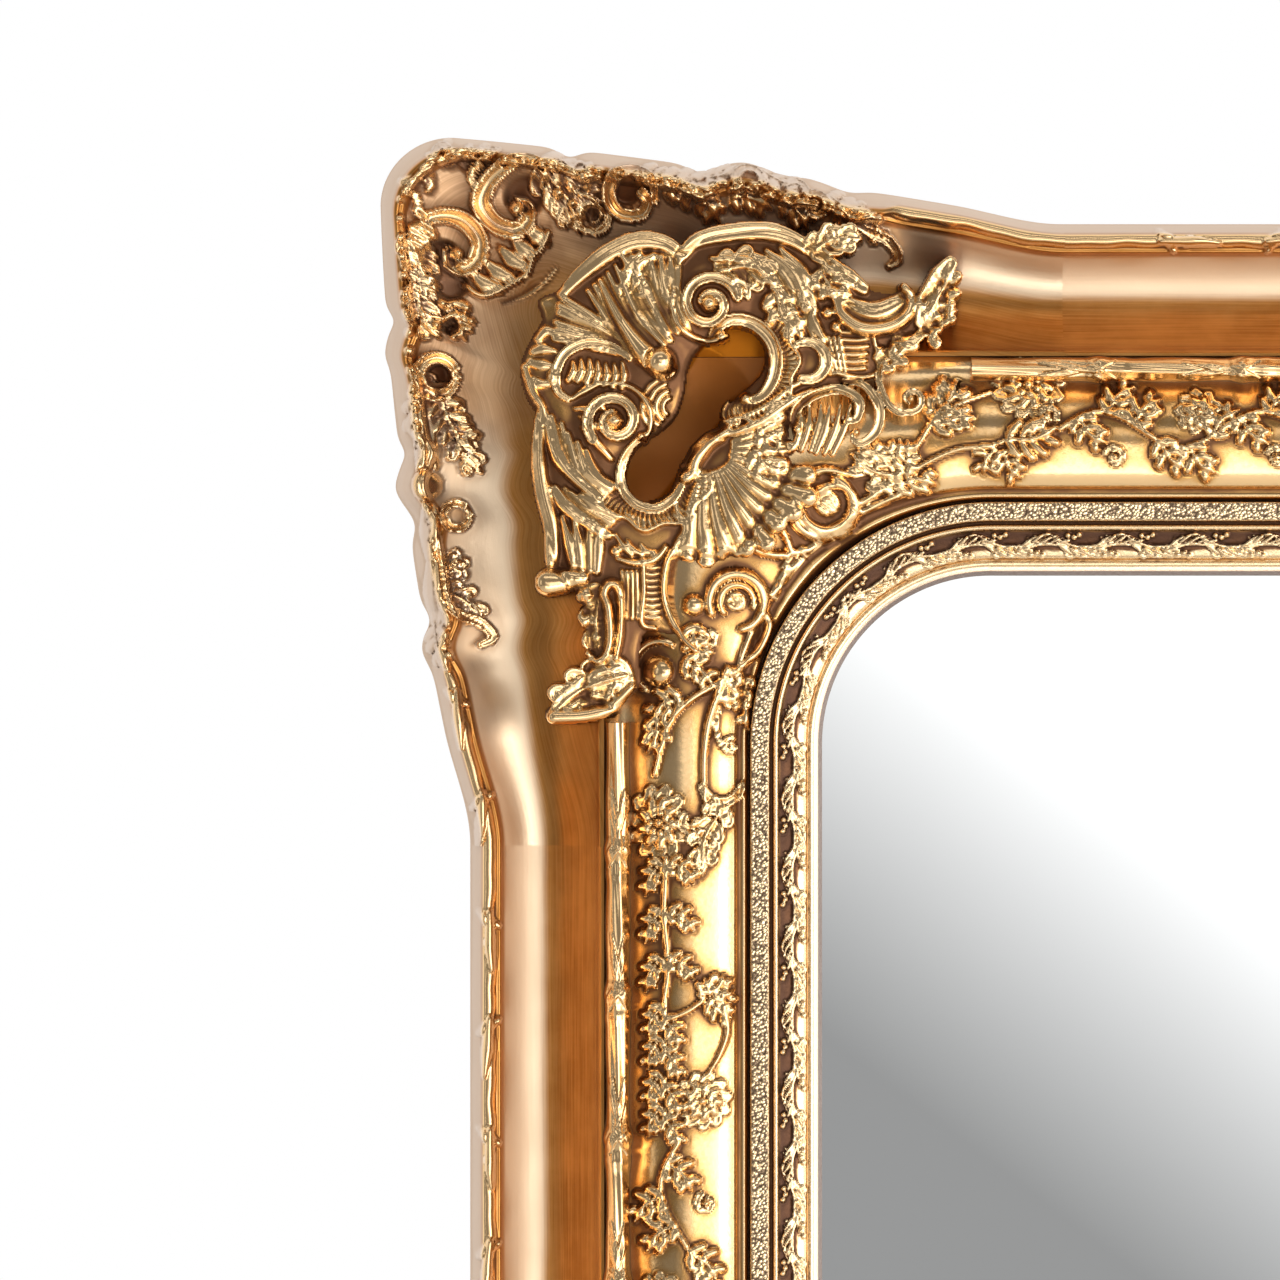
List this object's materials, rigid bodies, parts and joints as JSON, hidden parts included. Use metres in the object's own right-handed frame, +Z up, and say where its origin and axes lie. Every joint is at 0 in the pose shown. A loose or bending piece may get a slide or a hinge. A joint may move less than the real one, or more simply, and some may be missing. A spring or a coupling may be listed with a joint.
{
  "type": "free-standing full-length mirror",
  "caption": "Full-length mirror in a wide swept carved frame with pierced corner cartouches, leaning back on a folding easel leg held open by a hooked stay.",
  "frame": {"origin": "centre of the bounding box at floor level", "axes": "+Z up, -Y towards the viewer who looks into the glass, +X to that viewer's right"},
  "size_m": [1.0068, 0.5176, 1.8978],
  "materials": {
    "gilt_rail": "antique gilt with brown patina in the cove",
    "gilt_carving": "bright antique gilt over carved wood",
    "gilt_liner": "antique gilt with dark patina",
    "silvered_glass": "silvered glass",
    "backing_board": "plain hardboard",
    "strainer_pine": "planed pine",
    "leg_wood": "dark stained and waxed",
    "brass": "satin brass",
    "steel": "zinc-plated",
    "rubber": "matt black"
  },
  "bodies": {
    "frame": {"outer_corner_top_left": "gilt_rail", "outer_corner_top_right": "gilt_rail", "outer_corner_bottom_left": "gilt_rail", "outer_corner_bottom_right": "gilt_rail", "outer_rail_left": "gilt_rail", "outer_rail_right": "gilt_rail", "outer_rail_top": "gilt_rail", "outer_rail_bottom": "gilt_rail", "panel_left": "gilt_carving", "panel_right": "gilt_carving", "panel_top": "gilt_carving", "panel_bottom": "gilt_carving", "stick_left": "gilt_carving", "stick_right": "gilt_carving", "stick_top": "gilt_carving", "stick_bottom": "gilt_carving", "cartouche_top_left": "gilt_carving", "cartouche_top_right": "gilt_carving", "cartouche_bottom_left": "gilt_carving", "cartouche_bottom_right": "gilt_carving", "liner_left": "gilt_liner", "liner_right": "gilt_liner", "liner_top": "gilt_liner", "liner_bottom": "gilt_liner", "mirror_glass": "silvered_glass", "backing_board": "backing_board", "strainer_stile_left": "strainer_pine", "strainer_stile_right": "strainer_pine", "strainer_rail_top": "strainer_pine", "strainer_rail_hinge": "strainer_pine", "strainer_rail_stay": "strainer_pine", "strainer_rail_bottom": "strainer_pine", "frame_foot_left": "rubber", "frame_foot_right": "rubber", "hinge_frame_leaf_left": "brass", "hinge_frame_leaf_right": "brass", "hinge_pin_left": "steel", "hinge_pin_right": "steel", "stay_bracket": "steel", "stay_pin": "brass", "hanger_plate_left": "steel", "hanger_plate_right": "steel"},
    "leg": {"hinge_leg_leaf_left": "brass", "hinge_leg_leaf_right": "brass", "leg_head_rail": "leg_wood", "leg_stile_left": "leg_wood", "leg_stile_right": "leg_wood", "leg_cross_rail": "leg_wood", "leg_dowel": "leg_wood", "leg_foot_left": "rubber", "leg_foot_right": "rubber"},
    "stay": {"stay_hook": "steel"},
    "ring_left": {"hanger_ring_left": "steel"},
    "ring_right": {"hanger_ring_right": "steel"}
  },
  "joints": [
    {"name": "leg_fold", "type": "hinge", "parent": "frame", "child": "leg", "pos_m": [0, 0.04887, 1.38215], "axis": [1, 0, 0], "range_deg": [-17, 0]},
    {"name": "stay_swing", "type": "hinge", "parent": "frame", "child": "stay", "pos_m": [0, -0.0898, 0.45547], "axis": [1, 0, 0], "range_deg": [0, 78]},
    {"name": "left_ring_swing", "type": "hinge", "parent": "frame", "child": "ring_left", "pos_m": [-0.345, 0.07329, 1.5504], "axis": [1, 0, 0], "range_deg": [-8, 120]},
    {"name": "right_ring_swing", "type": "hinge", "parent": "frame", "child": "ring_right", "pos_m": [0.345, 0.07329, 1.5504], "axis": [1, 0, 0], "range_deg": [-8, 120]}
  ]
}
